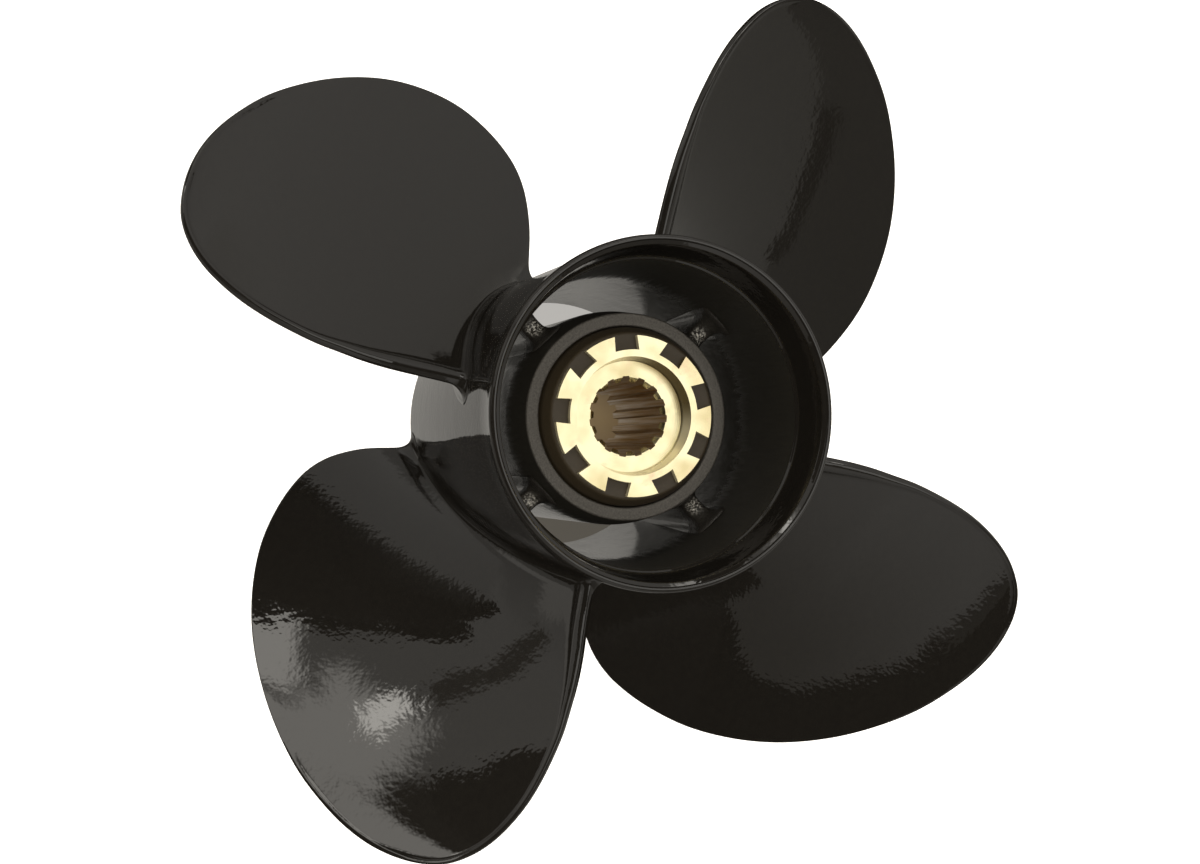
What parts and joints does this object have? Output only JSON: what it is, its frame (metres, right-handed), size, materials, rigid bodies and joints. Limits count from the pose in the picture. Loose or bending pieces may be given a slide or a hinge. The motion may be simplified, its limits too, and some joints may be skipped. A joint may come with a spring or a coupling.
{
  "type": "outboard motor propeller",
  "caption": "Right-hand boat propeller: cupped blades on a hollow exhaust barrel with a flared rim, ribs, a rubber bush and a splined brass sleeve on the shaft.",
  "frame": {"origin": "on the shaft axis, in the plane of the hub's front edge", "axes": "+Z along the shaft axis towards the flared rim (aft), +X through the tip of blade_1"},
  "size_m": [0.343, 0.343, 0.1553],
  "materials": {
    "barrel_paint": "gloss black enamel",
    "rim_paint": "gloss black enamel",
    "inner_hub_metal": "black enamel with a satin machined ring face aft",
    "rib_paint": "black enamel over rough casting",
    "blade_paint": "gloss black enamel",
    "bush_rubber": "matte",
    "sleeve_brass": "turned"
  },
  "bodies": {
    "root": {"hub_barrel": "barrel_paint", "flared_rim": "rim_paint", "inner_hub": "inner_hub_metal", "rib_1": "rib_paint", "rib_2": "rib_paint", "rib_3": "rib_paint", "rib_4": "rib_paint", "blade_1": "blade_paint", "blade_2": "blade_paint", "blade_3": "blade_paint", "blade_4": "blade_paint", "rubber_bush": "bush_rubber", "brass_sleeve": "sleeve_brass"}
  },
  "joints": []
}
